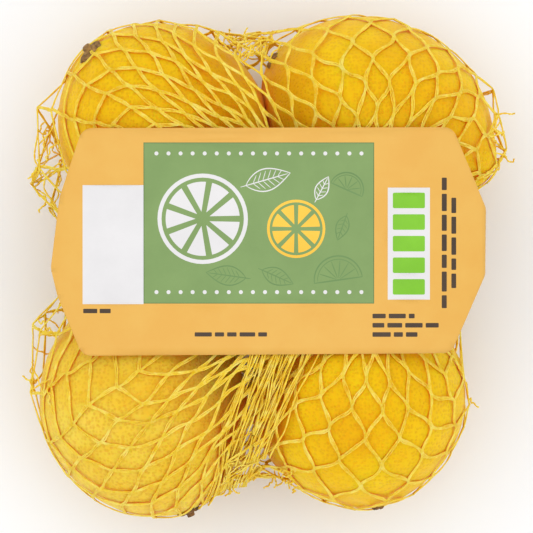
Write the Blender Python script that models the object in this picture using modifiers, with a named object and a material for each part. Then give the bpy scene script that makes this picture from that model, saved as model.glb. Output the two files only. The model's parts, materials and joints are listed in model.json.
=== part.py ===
"""Net of four lemons under a printed film label, lying on its back with the label up.

Two solids: the filled net, which is the drawn-tight form of the net over its lemons with the strands raised
in diamonds, and the label, a thin sheet bent down at its ends. Lengths are in millimetres until the meshes
are scaled, +Z is up, and the origin is on the floor under the middle of the pack.
"""

import math

import bmesh
import bpy
from mathutils import Matrix, Vector
from mathutils.bvhtree import BVHTree

MM = 0.001

# Each lemon: its middle seen from above, the heading of its stem in degrees, and its half sizes along the
# core, across it and upright.
LEMONS = (
    {"at": (-30.7, 40.8), "stem_heading": 133, "half": (34.0, 31.0, 31.4)},
    {"at": (33.2, 45.0), "stem_heading": 155, "half": (36.0, 29.0, 30.8)},
    {"at": (-36.8, -41.4), "stem_heading": -67, "half": (34.0, 31.0, 31.2)},
    {"at": (27.6, -39.1), "stem_heading": -80, "half": (33.0, 32.4, 31.5)},
)
NIPPLE_HEIGHT = 3.2
NIPPLE_SPREAD = 0.24
NECK_HEIGHT = 1.1
NECK_SPREAD = 0.30
LEMON_SEGMENTS = 48
LEMON_RINGS = 32

# Middles and half sizes of the loose folds that stand off the fruit at the sides.
SLACK_FOLDS = (
    ((-59.0, 33.0, 32.0), (12.4, 24.0, 10.0)),
    ((-58.0, -29.0, 32.0), (14.4, 23.0, 10.0)),
    ((58.0, 40.0, 31.0), (14.6, 22.0, 9.0)),
    ((52.0, -31.0, 31.0), (10.8, 16.0, 9.0)),
)

STRAND_HEIGHT = 0.8
STRAND_WIDTH = 1.4

# The net is drawn together at two places under the label, and its rows run between them round the pack.
PACK_MIDDLE = Vector((-1.5, 1.0, 31.5))
GATHER_TOP = Vector((35.0, 29.0, 57.0))
GATHER_BOTTOM = Vector((33.0, -8.0, 57.0))
FRONT_LEFT = Vector((6.0, 10.0, 60.0))
FRONT_RIGHT = Vector((54.0, 10.0, 52.0))
COLUMNS = 30
LEVELS = 36
COVERED_STEPS = 4
ARC_SAMPLES = 160
TIGHTENING_ROUNDS = 300
EXTRA_DRAW = 0.8
MOST_EXTRA_DRAW = 4.0
# On the back the net's solid follows the hollow between the four fruit.
BACK_HOLLOW_DRAW = 0.92
MOST_BACK_HOLLOW_DRAW = 22.0
LEAST_REACH = 5.0
NARROWEST_OPEN_CELL = 2.8

LABEL_THICKNESS = 0.4
LABEL_GAP = 0.35
LABEL_HEIGHT = 63.4
LABEL_RISE_ALONG_Y = 0.045
LABEL_RISE_ALONG_X = -0.010
LABEL_FLAT_HALF_LENGTH = 36.0
LABEL_HALF_LENGTH = 65.6
LABEL_END_DROP = 6.0
LABEL_STATIONS = 24
LABEL_ARC_STEPS = 6

# Corners of the label and how far each is rounded.
LABEL_OUTLINE = (
    ((-55.0, 41.3), 4.0),
    ((-61.9, 20.5), 12.0),
    ((-64.5, -0.5), 6.0),
    ((-62.5, -8.8), 6.0),
    ((-55.0, -26.7), 4.0),
    ((55.2, -25.9), 4.0),
    ((65.4, -2.5), 4.0),
    ((65.6, 17.5), 4.0),
    ((55.6, 41.6), 4.0),
)


def clear_scene():
    for obj in list(bpy.data.objects):
        bpy.data.objects.remove(obj)


def plastic(name, colour, roughness):
    made = bpy.data.materials.new(name)
    made.use_nodes = True
    shader = made.node_tree.nodes["Principled BSDF"]
    shader.inputs["Base Color"].default_value = (*colour, 1.0)
    shader.inputs["Roughness"].default_value = roughness
    shader.inputs["Metallic"].default_value = 0.0
    return made


def object_of(name, mesh, surface, collection):
    """Turns a bmesh in millimetres into a named object in metres."""
    bmesh.ops.scale(mesh, vec=(MM, MM, MM), verts=mesh.verts)
    data = bpy.data.meshes.new(name)
    mesh.to_mesh(data)
    mesh.free()
    data.materials.append(surface)
    obj = bpy.data.objects.new(name, data)
    collection.objects.link(obj)
    return obj


def lemon_reach(half, local):
    """Distance from a lemon's middle to its skin, in a unit direction with X along the core to the nipple."""
    oval = 1.0 / math.sqrt(sum((part / size) ** 2 for part, size in zip(local, half)))
    from_nipple = math.acos(max(-1.0, min(1.0, local.x)))
    from_stem = math.pi - from_nipple
    nipple = NIPPLE_HEIGHT * math.exp(-((from_nipple / NIPPLE_SPREAD) ** 2))
    neck = NECK_HEIGHT * math.exp(-((from_stem / NECK_SPREAD) ** 2))
    return oval + nipple + neck


def add_lemon(mesh, lemon):
    """Adds a lemon with the net's thickness round it, sunk so that it ends in a flat spot on the floor."""
    heading = math.radians(lemon["stem_heading"] + 180)
    place = Matrix.Translation((*lemon["at"], lemon["half"][2])) @ Matrix.Rotation(heading, 4, "Z")
    ball = bmesh.ops.create_uvsphere(mesh, u_segments=LEMON_SEGMENTS, v_segments=LEMON_RINGS, radius=1.0)
    for vertex in ball["verts"]:
        local = vertex.co.normalized()
        vertex.co = place @ (local * (lemon_reach(lemon["half"], local) + STRAND_HEIGHT))


def add_fold(mesh, middle, half):
    matrix = Matrix.LocRotScale(Vector(middle), None, Vector(half))
    bmesh.ops.create_uvsphere(mesh, u_segments=24, v_segments=16, radius=1.0, matrix=matrix)


def contents_and_wrapping():
    """Ray-cast trees of what fills the net, and of the tight convex wrapping round it."""
    contents = bmesh.new()
    for lemon in LEMONS:
        add_lemon(contents, lemon)
    for middle, half in SLACK_FOLDS:
        add_fold(contents, middle, half)
    wrapping = contents.copy()
    found = bmesh.ops.convex_hull(wrapping, input=wrapping.verts)
    inner = [item for item in found["geom_interior"] + found["geom_unused"] if isinstance(item, bmesh.types.BMVert)]
    bmesh.ops.delete(wrapping, geom=inner, context="VERTS")
    trees = BVHTree.FromBMesh(contents), BVHTree.FromBMesh(wrapping)
    contents.free()
    wrapping.free()
    return trees


def reach(tree, direction):
    """Distance from the pack's middle to the outermost surface of a tree, or 0 where there is none."""
    far = 200.0
    distance = tree.ray_cast(PACK_MIDDLE + far * direction, -direction, far)[3]
    return 0.0 if distance is None else far - distance


class Rows:
    """Arcs of directions from one gather to the other, each with its turn about the line between them."""

    def __init__(self):
        self.start = (GATHER_TOP - PACK_MIDDLE).normalized()
        self.end = (GATHER_BOTTOM - PACK_MIDDLE).normalized()
        self.chord = (self.end - self.start).normalized()
        self.foot = (self.start + self.end) / 2
        self.front = self.foot.normalized()
        self.right = self.front.cross(self.chord)

    def turn_through(self, point):
        """Turn of the arc through a point, from 0 in front, round by the right, to a full circle."""
        offset = (point - PACK_MIDDLE).normalized() - self.foot
        return math.atan2(offset.dot(self.right), offset.dot(self.front)) % (2 * math.pi)

    def direction(self, turn, share):
        """Direction at a share of the way along the arc with this turn."""
        side = math.cos(turn) * self.front + math.sin(turn) * self.right
        normal = self.chord.cross(side)
        centre = normal * normal.dot(self.foot)
        first = self.start - centre
        second = normal.cross(first)
        last = self.end - centre
        sweep = math.atan2(last.dot(second), last.dot(first)) % (2 * math.pi)
        halfway = centre + math.cos(sweep / 2) * first + math.sin(sweep / 2) * second
        if (halfway - self.foot).dot(side) < 0:
            second = -second
            sweep = 2 * math.pi - sweep
        angle = sweep * share
        return (centre + math.cos(angle) * first + math.sin(angle) * second).normalized()


def even_shares(points, count):
    """Shares of the way along a list of points that cut its length into equal steps."""
    lengths = [0.0]
    for before, after in zip(points, points[1:]):
        lengths.append(lengths[-1] + (after - before).length)
    shares = []
    step = 0
    for number in range(count + 1):
        target = lengths[-1] * number / count
        while step < len(points) - 2 and lengths[step + 1] < target:
            step += 1
        span = max(lengths[step + 1] - lengths[step], 1e-9)
        shares.append((step + (target - lengths[step]) / span) / (len(points) - 1))
    return shares


def net_directions(wrapping):
    """Directions of the knots by (level, half column), and of the covered part by (level, -step)."""
    rows = Rows()
    first = rows.turn_through(FRONT_RIGHT)
    last = rows.turn_through(FRONT_LEFT)

    def place(turn, share):
        direction = rows.direction(turn, share)
        return reach(wrapping, direction) * direction

    samples = [n / ARC_SAMPLES for n in range(ARC_SAMPLES + 1)]
    around = even_shares([place(first + (last - first) * s, 0.5) for s in samples], 2 * COLUMNS)
    directions = {(0, 0): rows.start, (LEVELS, 0): rows.end}
    for half_column, share in enumerate(around):
        turn = first + (last - first) * share
        along = even_shares([place(turn, s) for s in samples], LEVELS)
        for level in range(1, LEVELS):
            if (level + half_column) % 2 == 0:
                directions[level, half_column] = rows.direction(turn, along[level])
    for level in range(2, LEVELS, 2):
        right = directions[level, 0]
        left = directions[level, 2 * COLUMNS]
        for step in range(1, COVERED_STEPS):
            directions[level, -step] = right.lerp(left, step / COVERED_STEPS).normalized()
    return directions


def knot(level, column):
    """Key of a knot, with each gather's knots taken as one."""
    return (level, 0) if level in (0, LEVELS) else (level, column)


def covered(level, step):
    """Key of a point of the covered part, from the right edge of the net at step 0 to its left edge."""
    return knot(level, 2 * COLUMNS if step == COVERED_STEPS else -step)


def net_faces():
    """Rings of keys: the diamonds, and the plain faces that close the front under the label."""
    diamonds = []
    plain = []
    for level in range(1, LEVELS):
        for column in range(1, 2 * COLUMNS):
            if (level + column) % 2:
                corners = ((level - 1, column), (level, column + 1), (level + 1, column), (level, column - 1))
                diamonds.append([knot(*corner) for corner in corners])
    for level in range(0, LEVELS, 2):
        for column, beside in ((0, 1), (2 * COLUMNS, 2 * COLUMNS - 1)):
            ring = [knot(level, column), knot(level + 1, beside), knot(level + 2, column)]
            plain.append(ring if column == 0 else ring[::-1])
        for step in range(COVERED_STEPS):
            corners = ((level, step), (level + 2, step), (level + 2, step + 1), (level, step + 1))
            plain.append([covered(*corner) for corner in corners])
    return diamonds, plain


def without_repeats(ring):
    return [key for number, key in enumerate(ring) if key != ring[number - 1]]


def drawn_tight(directions, rings, contents, wrapping):
    """Places of the net's points: on a film over the contents, drawn in a little further in the hollows."""
    inner = {key: reach(contents, direction) for key, direction in directions.items()}
    outer = {key: reach(wrapping, direction) for key, direction in directions.items()}
    beside = {key: set() for key in directions}
    for ring in rings:
        for number, key in enumerate(ring):
            beside[key].add(ring[number - 1])
            beside[ring[number - 1]].add(key)
    order = sorted(directions)
    film = {key: outer[key] * directions[key] for key in order}
    film[0, 0] = GATHER_TOP - PACK_MIDDLE
    film[LEVELS, 0] = GATHER_BOTTOM - PACK_MIDDLE
    for _ in range(TIGHTENING_ROUNDS):
        for key in order:
            if key[0] in (0, LEVELS):
                continue
            mean = sum((film[other] for other in sorted(beside[key])), Vector()) / len(beside[key])
            film[key] = max(inner[key], mean.dot(directions[key])) * directions[key]
    places = {}
    for key in order:
        distance = film[key].length
        if key[0] not in (0, LEVELS):
            backward = max(0.0, -directions[key].z) ** 2
            extra = min(EXTRA_DRAW * (outer[key] - distance), MOST_EXTRA_DRAW)
            hollow = min(BACK_HOLLOW_DRAW * (distance - inner[key]), MOST_BACK_HOLLOW_DRAW * backward)
            distance = max(inner[key], distance - max(extra, hollow), LEAST_REACH)
        places[key] = PACK_MIDDLE + distance * directions[key]
    return places


def label_height(x, y):
    """Height of the label's middle surface above the floor."""
    past_flat = max(0.0, abs(x) - LABEL_FLAT_HALF_LENGTH) / (LABEL_HALF_LENGTH - LABEL_FLAT_HALF_LENGTH)
    return LABEL_HEIGHT + LABEL_RISE_ALONG_Y * y + LABEL_RISE_ALONG_X * x - LABEL_END_DROP * past_flat**2


def between_floor_and_label(point):
    ceiling = label_height(point.x, point.y) - LABEL_THICKNESS / 2 - LABEL_GAP
    return Vector((point.x, point.y, max(0.0, min(point.z, ceiling))))


def cell_width(face):
    corners = [vertex.co for vertex in face.verts]
    return min((corners[0] - corners[2]).length, (corners[1] - corners[3]).length)


def filled_net(surface, collection):
    contents, wrapping = contents_and_wrapping()
    directions = net_directions(wrapping)
    diamonds, plain = net_faces()
    plain = [without_repeats(ring) for ring in plain]
    places = drawn_tight(directions, diamonds + plain, contents, wrapping)
    mesh = bmesh.new()
    vertices = {key: mesh.verts.new(between_floor_and_label(place)) for key, place in places.items()}
    for ring in plain:
        if len(ring) > 2:
            mesh.faces.new([vertices[key] for key in ring])
    cells = [mesh.faces.new([vertices[key] for key in ring]) for ring in diamonds]
    bmesh.ops.recalc_face_normals(mesh, faces=mesh.faces)
    feet = []
    for lemon in LEMONS:
        under = Vector((*lemon["at"], 0.0))
        foot = min(cells, key=lambda cell: (cell.calc_center_median() - under).length)
        feet.append(foot)
        for vertex in foot.verts:
            vertex.co.z = 0.0
    open_cells = [cell for cell in cells if cell not in feet and cell_width(cell) > NARROWEST_OPEN_CELL]
    bmesh.ops.inset_individual(
        mesh, faces=open_cells, thickness=STRAND_WIDTH / 2, depth=-STRAND_HEIGHT, use_even_offset=True
    )
    bmesh.ops.triangulate(mesh, faces=mesh.faces, quad_method="SHORT_EDGE")
    return object_of("filled_net", mesh, surface, collection)


def rounded(outline):
    """Points of an outline whose corners are rounded with arcs."""
    points = []
    for number, (corner, radius) in enumerate(outline):
        here = Vector(corner)
        back = (Vector(outline[number - 1][0]) - here).normalized()
        ahead = (Vector(outline[(number + 1) % len(outline)][0]) - here).normalized()
        half_angle = back.angle(ahead) / 2
        middle = here + (back + ahead).normalized() * radius / math.sin(half_angle)
        first = here + back * radius / math.tan(half_angle) - middle
        last = here + ahead * radius / math.tan(half_angle) - middle
        for step in range(LABEL_ARC_STEPS + 1):
            spoke = first.normalized().slerp(last.normalized(), step / LABEL_ARC_STEPS)
            points.append(middle + spoke * radius)
    return points


def label(surface, collection):
    mesh = bmesh.new()
    mesh.faces.new([mesh.verts.new((point.x, point.y, 0.0)) for point in rounded(LABEL_OUTLINE)])
    for number in range(1, LABEL_STATIONS):
        x = LABEL_HALF_LENGTH * (2 * number / LABEL_STATIONS - 1)
        everything = mesh.verts[:] + mesh.edges[:] + mesh.faces[:]
        bmesh.ops.bisect_plane(mesh, geom=everything, plane_co=(x, 0, 0), plane_no=(1, 0, 0))
    for vertex in mesh.verts:
        vertex.co.z = label_height(vertex.co.x, vertex.co.y)
    bmesh.ops.recalc_face_normals(mesh, faces=mesh.faces)
    made = object_of("label", mesh, surface, collection)
    sheet = made.modifiers.new("sheet", "SOLIDIFY")
    sheet.thickness = LABEL_THICKNESS * MM
    sheet.offset = 0.0
    return made


def main():
    clear_scene()
    pack = bpy.data.collections.new("net_of_lemons")
    bpy.context.scene.collection.children.link(pack)
    filled_net(plastic("yellow_net", (0.87, 0.56, 0.02), 0.5), pack)
    label(plastic("orange_film", (0.93, 0.52, 0.14), 0.35), pack)


main()
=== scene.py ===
import json
import math

import bpy
import numpy as np
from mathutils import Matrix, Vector, geometry

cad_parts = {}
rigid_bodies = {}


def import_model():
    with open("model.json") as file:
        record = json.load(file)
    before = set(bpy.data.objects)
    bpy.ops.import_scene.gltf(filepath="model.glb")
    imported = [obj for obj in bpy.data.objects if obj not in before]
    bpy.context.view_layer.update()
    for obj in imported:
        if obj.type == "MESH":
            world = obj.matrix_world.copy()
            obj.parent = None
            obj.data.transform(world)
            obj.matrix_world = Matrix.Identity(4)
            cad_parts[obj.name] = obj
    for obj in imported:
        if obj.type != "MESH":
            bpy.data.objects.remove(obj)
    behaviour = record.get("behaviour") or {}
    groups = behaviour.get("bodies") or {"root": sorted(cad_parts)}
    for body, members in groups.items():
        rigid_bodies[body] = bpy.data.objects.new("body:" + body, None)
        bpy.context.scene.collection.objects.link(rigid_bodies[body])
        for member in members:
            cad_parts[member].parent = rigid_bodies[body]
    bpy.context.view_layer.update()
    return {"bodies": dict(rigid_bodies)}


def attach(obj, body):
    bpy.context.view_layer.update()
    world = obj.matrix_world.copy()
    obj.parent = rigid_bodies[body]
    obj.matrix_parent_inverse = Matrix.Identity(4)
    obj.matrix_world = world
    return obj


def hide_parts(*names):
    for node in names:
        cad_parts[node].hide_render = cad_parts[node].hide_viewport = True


MM = 0.001

# Lengths below are in millimetres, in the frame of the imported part: x to the right of the print, y to its
# top, z out of it. Headings are in degrees from +x towards +y; tilt lifts the stem's end.
LEMONS = (
    {"name": "upper_left", "at": (-30.7, 40.8), "stem_heading": 133, "tilt": 17, "half": (34.0, 31.0, 31.4)},
    {"name": "upper_right", "at": (33.2, 45.0), "stem_heading": 155, "tilt": -8, "half": (36.0, 29.0, 30.8)},
    {"name": "lower_left", "at": (-36.8, -41.4), "stem_heading": -67, "tilt": 3, "half": (34.0, 31.0, 31.2)},
    {"name": "lower_right", "at": (27.6, -39.1), "stem_heading": -80, "tilt": 2, "half": (33.0, 32.4, 31.5)},
)
NIPPLE_HEIGHT = 3.2
NIPPLE_SPREAD = 0.24
NECK_HEIGHT = 1.1
NECK_SPREAD = 0.30
LEMON_ROWS = 150
LEMON_COLUMNS = 220
LOWEST_SKIN = 0.7
# No lemon reaches farther than this from its centre.
LEMON_FARTHEST = 42.0
STEM_COLUMNS = 40

# Slack folds of the net beside the fruit: centre and half sizes.
SLACK_FOLDS = np.array((
    ((-59.0, 33.0, 32.0), (12.4, 24.0, 10.0)),
    ((-58.0, -29.0, 32.0), (14.4, 23.0, 10.0)),
    ((58.0, 40.0, 31.0), (14.6, 22.0, 9.0)),
    ((52.0, -31.0, 31.0), (10.8, 16.0, 9.0)),
))
PACK_MIDDLE = np.array((14.0, 6.0, 20.0))
GATHER_TOP = np.array((35.0, 29.0, 57.0))
GATHER_BOTTOM = np.array((33.0, -8.0, 57.0))
FRONT_LEFT = np.array((6.0, 10.0, 60.0))
FRONT_RIGHT = np.array((54.0, 10.0, 52.0))
HALF_HEIGHT = 31.0
STITCH_COLUMNS = 24
STITCH_ROWS = 42
STITCH_SIDE = 9.0
# By the share of the half columns from the right edge of the front to its left edge: where the net leaves the
# bundle that it is gathered in and at what heading, at the top and at the bottom, and its places round the
# waist. Each half column runs straight to FAN_START of its length, and has turned to the waist FAN_SHARE on.
GATHERS_TOP = (
    (0.0, (41, 33, 56)),
    (0.16, (38, 37, 57)),
    (0.30, (34, 36, 57)),
    (0.37, (29, 34, 58)),
    (0.46, (17, 29, 58)),
    (1.0, (14, 24, 58)),
)
GATHERS_BOTTOM = ((0.0, (33, -8, 57)), (0.36, (33, -8, 57)), (0.50, (16, -16, 58)), (1.0, (12, -11, 58)))
FAN_TOP = ((0.0, -35), (0.11, 12), (0.16, 38), (0.30, 98), (0.37, 126), (0.46, 129), (0.84, 170), (1.0, 200))
FAN_BOTTOM = ((0.0, 25), (0.12, -42), (0.38, -124), (0.50, -128), (0.85, -168), (1.0, -200))
WAIST_PLACES = ((0.0, 0.0), (0.14, 0.18), (0.40, 0.45), (0.83, 0.85), (1.0, 1.0))
FAN_START = 0.16
FAN_SHARE = 0.36
TOP_SPAN_LIFT = 0.6
SKIN_GAP = 0.35
PATH_STEPS = 200
FAR_AWAY = 1e9

# How the film is relaxed over the contents: its rounds, and how far it is drawn in where it spans a gap.
FILM_ROUNDS = 250
FILM_DRAWN_SHARE = 0.8
FILM_DRAWN_MOST = 4.0
# How the stitches slide along the film: rounds, the share of the way to the middle of their neighbours, the
# pull back home, the pull between the bunched rows of the waist, and how closely the film's reach is kept.
SLIDE_ROUNDS = 12
SLIDE_RATE = 0.5
SLIDE_HOME = 0.1
WAIST_PULL = 4.5
SLIDE_HOLD = 0.6

KNOT_SEED = 5
KNOT_JITTER = 0.30
KNOT_REACH_LEFT = 0.5
KNOT_REACH_RIGHT = 1.4
KNOT_REACH_SHARE = 0.26

# Each strand is three filaments. They part and close by one wave, wobble, rise and swell by others: the
# lengths of the waves, and how much each does.
FILAMENT_SEED = 21
FILAMENT_RADIUS = 0.22
FILAMENT_APART = 0.41
TUBE_SIDES = 5
PARTING_WAVE = 9.0
PARTING_MEAN = 0.76
PARTING_SWING = 0.38
WOBBLE_WAVE = 2.6
WOBBLE = 0.05
RISE_WAVE = 4.7
RISE = 0.06
MIDDLE_RISE = 0.05
SWELL_WAVE = 1.9
SWELL = 0.16
# Strands stray sideways over the fruit by waves of these lengths, each of this height.
UNEVEN_WAVES = (17.0, 23.0, 31.0)
UNEVEN_SIZE = 0.42

LOOSE_SEED = 33
LOOSE_STEPS = 30
LOOSE_RADIUS = 0.26
LOOSE_GAP = 0.45
LOOSE_LOWEST = 0.4

# Size of the photograph's pixels, and its middle, for places on the print.
PIXEL = 0.30
PHOTO_MIDDLE = 266.5

LABEL_THICKNESS = 0.16
LABEL_GAP = 0.6
LABEL_GRID = 2.0
LABEL_HALF_WIDTH = 66.0
# The label's middle is a slanted plane; past LABEL_FLAT it bends down by LABEL_DROP over LABEL_BEND.
LABEL_TOP = 63.4
LABEL_SLOPE_X = -0.010
LABEL_SLOPE_Y = 0.045
LABEL_FLAT = 36.0
LABEL_BEND = 29.6
LABEL_DROP = 6.0
LABEL_OUTLINE = (
    ((-55.0, 41.3), 4.0),
    ((-61.9, 20.5), 12.0),
    ((-64.5, -0.5), 6.0),
    ((-62.5, -8.8), 6.0),
    ((-55.0, -26.7), 4.0),
    ((55.2, -25.9), 4.0),
    ((65.4, -2.5), 4.0),
    ((65.6, 17.5), 4.0),
    ((55.6, 41.6), 4.0),
)

# The print's materials in the order of their indices: name, main colour and darker colour.
PRINT_COLOURS = (
    ("film_orange", "E7B350", "E5AD49"),
    ("print_green", "809E5C", "7A9857"),
    ("print_white", "E5E3E4", "E0DEDF"),
    ("print_yellow", "FFC93E", "FBC034"),
    ("print_brown", "3A2A1C", "46331F"),
    ("print_lime", "80C820", "78BE18"),
    ("print_dark_green", "62854A", "6B8E52"),
    ("print_edge", "5E7F48", "587844"),
    ("film_back", "F3D3A0", "EFCB94"),
)
FILM_FRONT, GREEN, WHITE, YELLOW, BROWN, LIME, DARK_GREEN, EDGE, FILM_BACK = range(9)

CAMERA_HEIGHT = 5.0
CAMERA_TO_PACK = 4.96
SENSOR_WIDTH = 36.0
SEEN_WIDTH = 0.1599

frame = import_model()
BODY = sorted(frame["bodies"])[0]


def srgb(code):
    """A hex colour as linear RGBA."""
    parts = [int(code[i:i + 2], 16) / 255 for i in (0, 2, 4)]
    linear = [c / 12.92 if c <= 0.04045 else ((c + 0.055) / 1.055) ** 2.4 for c in parts]
    return (*linear, 1.0)


def unit(v):
    return v / np.linalg.norm(v, axis=-1, keepdims=True)


def unit_or_zero(v):
    return v / np.maximum(np.linalg.norm(v, axis=-1, keepdims=True), 1e-6)


def heading_vector(heading):
    return np.array((math.cos(math.radians(heading)), math.sin(math.radians(heading))))


def smooth(x):
    x = np.clip(x, 0, 1)
    return x * x * (3 - 2 * x)


# Materials

class Nodes:
    """A material's node tree, with a short way to add nodes."""

    def __init__(self, name):
        self.material = bpy.data.materials.new(name)
        self.material.use_nodes = True
        self.tree = self.material.node_tree
        self.shader = self.tree.nodes["Principled BSDF"]
        self.place = self.add("ShaderNodeTexCoord").outputs["Object"]

    def link(self, source, target):
        self.tree.links.new(source, target)

    def feed(self, socket, value):
        """Sets a number or colour on the socket itself, or links an output to it."""
        if isinstance(value, (float, tuple)):
            socket.default_value = value
        else:
            self.link(value, socket)

    def add(self, kind, inputs=(), **values):
        node = self.tree.nodes.new(kind)
        for key, value in values.items():
            setattr(node, key, value)
        for key, value in dict(inputs).items():
            self.feed(node.inputs[key], value)
        return node

    def noise(self, scale, detail=2.0, roughness=0.5):
        inputs = {"Scale": scale, "Detail": detail, "Roughness": roughness, "Vector": self.place}
        return self.add("ShaderNodeTexNoise", inputs).outputs["Fac"]

    def cells(self, scale, randomness):
        inputs = {"Scale": scale, "Randomness": randomness, "Vector": self.place}
        return self.add("ShaderNodeTexVoronoi", inputs).outputs["Distance"]

    def openness(self):
        """How far the surface lies open to its surroundings, from 0 deep in a crevice to 1: the mask for
        painted shade.
        """
        return self.add("ShaderNodeAmbientOcclusion", {"Distance": 0.018}, samples=6).outputs["AO"]

    def remap(self, value, low, high, to_low=0.0, to_high=1.0):
        inputs = {"Value": value, "From Min": low, "From Max": high, "To Min": to_low, "To Max": to_high}
        return self.add("ShaderNodeMapRange", inputs, interpolation_type="SMOOTHSTEP").outputs["Result"]

    def ramp(self, value, *stops):
        node = self.add("ShaderNodeValToRGB")
        items = node.color_ramp.elements
        while len(items) < len(stops):
            items.new(0.5)
        for item, (position, colour) in zip(items, stops):
            item.position = position
            item.color = colour
        self.link(value, node.inputs["Fac"])
        return node.outputs["Color"]

    def mix(self, factor, first, second):
        # Inputs 6 and 7 and output 2 are the node's colours.
        inputs = {"Factor": factor, 6: first, 7: second}
        return self.add("ShaderNodeMix", inputs, data_type="RGBA").outputs[2]

    def times(self, first, second):
        return self.add("ShaderNodeMath", {0: first, 1: second}, operation="MULTIPLY").outputs[0]

    def plus(self, first, second):
        return self.add("ShaderNodeMath", {0: first, 1: second}, operation="ADD").outputs[0]

    def bump(self, height, strength, depth):
        inputs = {"Strength": strength, "Distance": depth, "Height": height}
        self.link(self.add("ShaderNodeBump", inputs).outputs["Normal"], self.shader.inputs["Normal"])

    def set(self, **values):
        for key, value in values.items():
            self.feed(self.shader.inputs[key.replace("_", " ")], value)
        return self.material


def lemon_material(name, deep, middle, bright, pore, pore_share):
    """Peel with fine pores, and painted shade: a deeper orange mixed in where the peel is occluded, as where
    fruit lies against fruit.
    """
    n = Nodes(name)
    blotches = n.noise(34.0, 3.0, 0.55)
    fine = n.noise(260.0, 2.0, 0.6)
    base = n.ramp(blotches, (0.30, srgb(deep)), (0.50, srgb(middle)), (0.72, srgb(bright)))
    base = n.mix(n.remap(fine, 0.35, 0.75, 0.0, 0.35), base, srgb(bright))
    pits = n.cells(900.0, 0.75)
    patches = n.remap(n.noise(90.0), 0.35, 0.65, 0.65, 1.0)
    dots = n.times(n.remap(pits, 0.62, 0.26), patches)
    base = n.mix(n.times(dots, pore_share), base, srgb(pore))
    # Painted shade: deep orange mixed into the peel colour where ambient occlusion finds crevices, between
    # fruit and under the strands.
    base = n.mix(n.remap(n.openness(), 0.02, 0.50), srgb("F48400"), base)
    height = n.plus(n.remap(pits, 0.05, 0.50), n.times(n.noise(420.0), 0.7))
    n.bump(height, 0.45, 0.00022)
    rough = n.remap(fine, 0.3, 0.7, 0.42, 0.54)
    return n.set(
        Base_Color=base,
        Roughness=rough,
        Specular_IOR_Level=0.08,
        Subsurface_Weight=0.85,
        Subsurface_Radius=(1.0, 0.35, 0.06),
        Subsurface_Scale=0.006,
        Sheen_Weight=0.15,
        Sheen_Roughness=0.6,
        Sheen_Tint=(1.0, 0.72, 0.38, 1.0),
    )


def net_material():
    n = Nodes("net_strands")
    tone = n.noise(260.0, 3.0, 0.6)
    streak = n.noise(1500.0, 1.0)
    colour = n.ramp(tone, (0.32, srgb("EDBE18")), (0.52, srgb("F7D43A")), (0.70, srgb("FDE870")))
    colour = n.mix(n.remap(streak, 0.4, 0.7, 0.0, 0.3), colour, srgb("FCE884"))
    # Painted shade: a warm orange mixed into the strands' colour where ambient occlusion finds them deep in
    # crevices.
    colour = n.mix(n.remap(n.openness(), 0.02, 0.26), srgb("F2A800"), colour)
    n.bump(streak, 0.35, 0.00008)
    return n.set(
        Base_Color=colour,
        Roughness=0.50,
        Specular_IOR_Level=0.15,
        Subsurface_Weight=0.25,
        Subsurface_Radius=(0.8, 0.6, 0.2),
        Subsurface_Scale=0.0008,
    )


def print_material(name, code, darker):
    n = Nodes(name)
    colour = n.ramp(n.noise(75.0, 4.0, 0.6), (0.35, srgb(darker)), (0.65, srgb(code)))
    n.bump(n.noise(55.0), 0.12, 0.0004)
    return n.set(
        Base_Color=colour,
        Roughness=n.remap(n.noise(24.0), 0.3, 0.7, 0.32, 0.44),
        Specular_IOR_Level=0.45,
    )


def stem_material(name, dark, light):
    n = Nodes(name)
    grain = n.noise(900.0, 4.0, 0.65)
    colour = n.ramp(grain, (0.32, srgb(dark)), (0.70, srgb(light)))
    n.bump(grain, 0.8, 0.0003)
    return n.set(Base_Color=colour, Roughness=0.85)


# Mesh helpers

def new_object(name, data):
    made = bpy.data.objects.new(name, data)
    bpy.context.scene.collection.objects.link(made)
    return made


def make_piece(name, points, faces, material):
    """One piece from points in millimetres, riding on the pack's body."""
    mesh = bpy.data.meshes.new(name)
    mesh.from_pydata((np.asarray(points) * MM).tolist(), [], faces)
    mesh.validate()
    mesh.polygons.foreach_set("use_smooth", [True] * len(mesh.polygons))
    piece = new_object(name, mesh)
    for one in material if isinstance(material, (list, tuple)) else [material]:
        mesh.materials.append(one)
    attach(piece, BODY)
    return piece


def tubes(paths, across, radius):
    """Closed tubes along paths of shape (tube, point, 3); across is a vector to the side at each point."""
    count, steps = paths.shape[:2]
    ahead = unit_or_zero(np.gradient(paths, axis=1))
    side = unit_or_zero(across - (across * ahead).sum(-1, keepdims=True) * ahead)
    up = np.cross(ahead, side)
    turn = np.arange(TUBE_SIDES) * 2 * math.pi / TUBE_SIDES
    radius = np.broadcast_to(radius, (count, steps))[..., None, None]
    ring = np.cos(turn)[:, None] * side[:, :, None] + np.sin(turn)[:, None] * up[:, :, None]
    points = (paths[:, :, None] + radius * ring).reshape(-1, 3)
    first = (np.arange(count)[:, None] * steps + np.arange(steps - 1)[None]).reshape(-1, 1) * TUBE_SIDES
    here = np.arange(TUBE_SIDES)[None]
    after = (here + 1) % TUBE_SIDES
    quads = np.stack((first + here, first + after, first + TUBE_SIDES + after, first + TUBE_SIDES + here), -1)
    faces = quads.reshape(-1, 4).tolist()
    starts = np.arange(count)[:, None] * steps * TUBE_SIDES
    faces += (starts + here[:, ::-1]).tolist()
    faces += (starts + (steps - 1) * TUBE_SIDES + here).tolist()
    return points, faces


def ripple(directions, size, count, seed):
    """A smooth random field over directions, of about unit height."""
    rng = np.random.default_rng(seed)
    waves = unit(rng.normal(size=(count, 3))) * rng.uniform(0.7, 1.3, (count, 1)) * size
    phase = rng.uniform(0, 2 * math.pi, count)
    return np.cos(directions @ waves.T + phase).sum(-1) / math.sqrt(count)


# Lemons

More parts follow.
